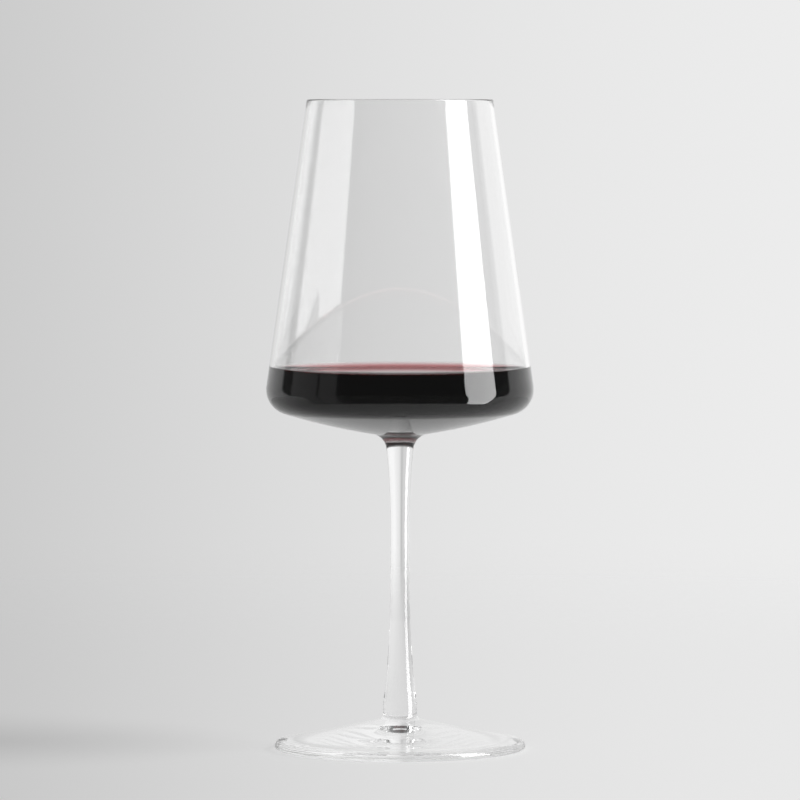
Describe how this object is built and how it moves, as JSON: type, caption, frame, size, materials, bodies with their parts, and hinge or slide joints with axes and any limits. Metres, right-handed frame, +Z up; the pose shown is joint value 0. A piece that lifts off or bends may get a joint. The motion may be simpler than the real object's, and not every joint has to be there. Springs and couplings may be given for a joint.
{
  "type": "glass of red wine",
  "caption": "Tall stemmed wine glass with a tapering bowl and a round foot, holding red wine in the low, wide part of the bowl.",
  "frame": {"origin": "centre of the foot's underside, at the level of the table", "axes": "+Z up along the stem; the object is turned about Z, so +X and +Y are free"},
  "size_m": [0.093, 0.093, 0.226],
  "materials": {
    "clear_glass": "clear, polished, colourless",
    "red_wine": "clear dark red liquid with a still, shiny surface: almost black in depth, pink where it is thin"
  },
  "bodies": {
    "root": {"glass": "clear_glass", "wine": "red_wine"}
  },
  "joints": []
}
